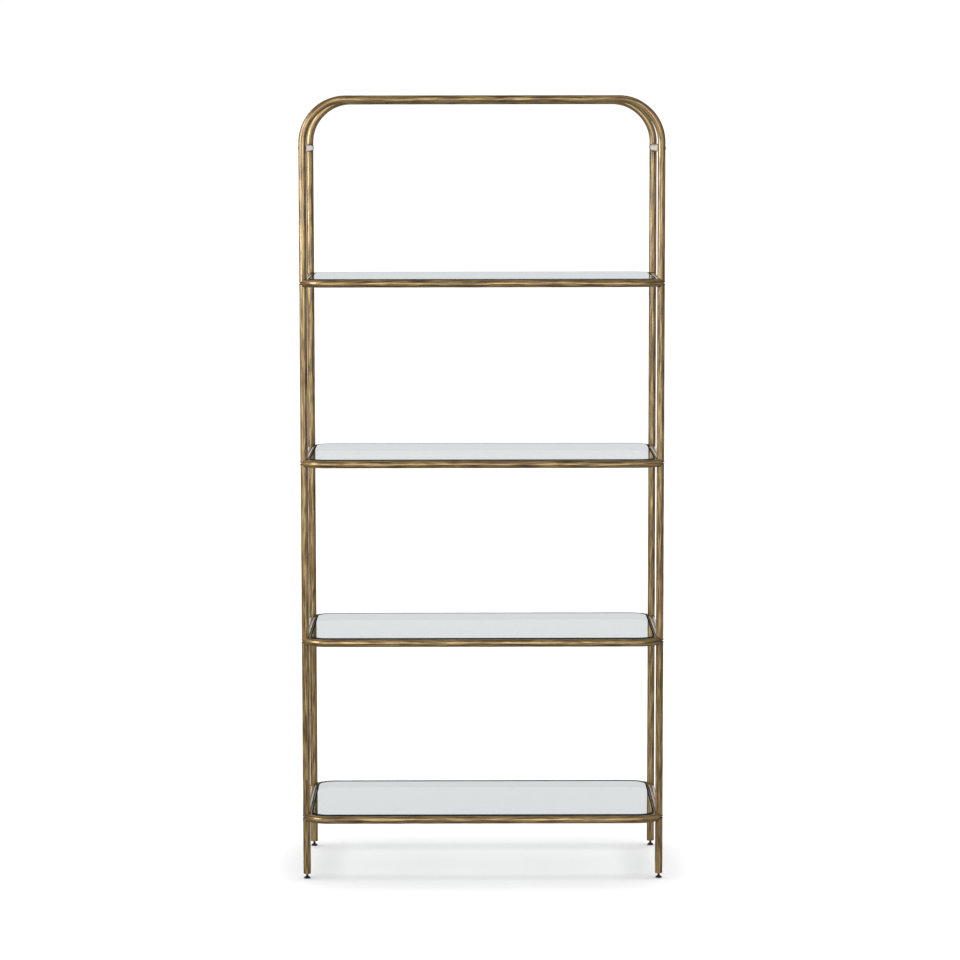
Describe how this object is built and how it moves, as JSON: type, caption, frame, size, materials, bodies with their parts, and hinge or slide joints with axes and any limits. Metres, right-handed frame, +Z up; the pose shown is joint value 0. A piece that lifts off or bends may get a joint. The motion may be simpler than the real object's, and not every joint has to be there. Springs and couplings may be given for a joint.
{
  "type": "etagere",
  "caption": "Tall open etagere: arched round brass tube ends, closed bent-tube shelf frames with inset lift-out glass shelves, on small levelling feet.",
  "frame": {"origin": "on the floor, at the middle of the base", "axes": "+Z up, +X to the right seen from the front, +Y from front to back; front and back are alike, so the front is the side at -Y"},
  "size_m": [0.914, 0.485, 1.98],
  "materials": {
    "tube_brass": "antique brass, hand-worked, streaky and satin",
    "shelf_glass": "clear, with flat-ground edges that look dark green",
    "clear_bumper": "clear soft vinyl",
    "insert_steel": "zinc-plated",
    "stem_black": "black oxide steel",
    "pad_plastic": "black moulded nylon"
  },
  "bodies": {
    "frame": {"shelf_frame_1": "tube_brass", "support_tabs_1": "tube_brass", "bumper_pads_1": "clear_bumper", "shelf_frame_2": "tube_brass", "support_tabs_2": "tube_brass", "bumper_pads_2": "clear_bumper", "shelf_frame_3": "tube_brass", "support_tabs_3": "tube_brass", "bumper_pads_3": "clear_bumper", "shelf_frame_4": "tube_brass", "support_tabs_4": "tube_brass", "bumper_pads_4": "clear_bumper", "front_left_post_1": "tube_brass", "front_left_post_2": "tube_brass", "front_left_post_3": "tube_brass", "front_left_leg": "tube_brass", "front_left_leg_insert": "insert_steel", "front_right_post_1": "tube_brass", "front_right_post_2": "tube_brass", "front_right_post_3": "tube_brass", "front_right_leg": "tube_brass", "front_right_leg_insert": "insert_steel", "rear_left_post_1": "tube_brass", "rear_left_post_2": "tube_brass", "rear_left_post_3": "tube_brass", "rear_left_leg": "tube_brass", "rear_left_leg_insert": "insert_steel", "rear_right_post_1": "tube_brass", "rear_right_post_2": "tube_brass", "rear_right_post_3": "tube_brass", "rear_right_leg": "tube_brass", "rear_right_leg_insert": "insert_steel", "front_arch": "tube_brass", "rear_arch": "tube_brass", "left_spreader": "tube_brass", "right_spreader": "tube_brass"},
    "glass_1": {"glass_shelf_1": "shelf_glass"},
    "glass_2": {"glass_shelf_2": "shelf_glass"},
    "glass_3": {"glass_shelf_3": "shelf_glass"},
    "glass_4": {"glass_shelf_4": "shelf_glass"},
    "front_left_pad": {"front_left_levelling_pad": "pad_plastic"},
    "front_left_stem": {"front_left_levelling_stem": "stem_black"},
    "front_right_pad": {"front_right_levelling_pad": "pad_plastic"},
    "front_right_stem": {"front_right_levelling_stem": "stem_black"},
    "rear_left_pad": {"rear_left_levelling_pad": "pad_plastic"},
    "rear_left_stem": {"rear_left_levelling_stem": "stem_black"},
    "rear_right_pad": {"rear_right_levelling_pad": "pad_plastic"},
    "rear_right_stem": {"rear_right_levelling_stem": "stem_black"}
  },
  "joints": [
    {"name": "glass_1_lift", "type": "slide", "parent": "frame", "child": "glass_1", "axis": [0, 0, 1], "range_m": [0, 0.12]},
    {"name": "glass_2_lift", "type": "slide", "parent": "frame", "child": "glass_2", "axis": [0, 0, 1], "range_m": [0, 0.12]},
    {"name": "glass_3_lift", "type": "slide", "parent": "frame", "child": "glass_3", "axis": [0, 0, 1], "range_m": [0, 0.12]},
    {"name": "glass_4_lift", "type": "slide", "parent": "frame", "child": "glass_4", "axis": [0, 0, 1], "range_m": [0, 0.12]},
    {"name": "front_left_foot_height", "type": "slide", "parent": "frame", "child": "front_left_pad", "axis": [0, 0, -1], "range_m": [0, 0.008]},
    {"name": "front_left_foot_screw", "type": "hinge", "parent": "front_left_pad", "child": "front_left_stem", "pos_m": [-0.4475, -0.194, 0.0125], "axis": [0, 0, -1], "range_deg": [0, 3600]},
    {"name": "front_right_foot_height", "type": "slide", "parent": "frame", "child": "front_right_pad", "axis": [0, 0, -1], "range_m": [0, 0.008]},
    {"name": "front_right_foot_screw", "type": "hinge", "parent": "front_right_pad", "child": "front_right_stem", "pos_m": [0.4475, -0.194, 0.0125], "axis": [0, 0, -1], "range_deg": [0, 3600]},
    {"name": "rear_left_foot_height", "type": "slide", "parent": "frame", "child": "rear_left_pad", "axis": [0, 0, -1], "range_m": [0, 0.008]},
    {"name": "rear_left_foot_screw", "type": "hinge", "parent": "rear_left_pad", "child": "rear_left_stem", "pos_m": [-0.4475, 0.194, 0.0125], "axis": [0, 0, -1], "range_deg": [0, 3600]},
    {"name": "rear_right_foot_height", "type": "slide", "parent": "frame", "child": "rear_right_pad", "axis": [0, 0, -1], "range_m": [0, 0.008]},
    {"name": "rear_right_foot_screw", "type": "hinge", "parent": "rear_right_pad", "child": "rear_right_stem", "pos_m": [0.4475, 0.194, 0.0125], "axis": [0, 0, -1], "range_deg": [0, 3600]}
  ],
  "couplings": [
    {"joint": "front_left_foot_screw", "follows": "front_left_foot_height", "rad_per_m": 7854},
    {"joint": "front_right_foot_screw", "follows": "front_right_foot_height", "rad_per_m": 7854},
    {"joint": "rear_left_foot_screw", "follows": "rear_left_foot_height", "rad_per_m": 7854},
    {"joint": "rear_right_foot_screw", "follows": "rear_right_foot_height", "rad_per_m": 7854}
  ]
}
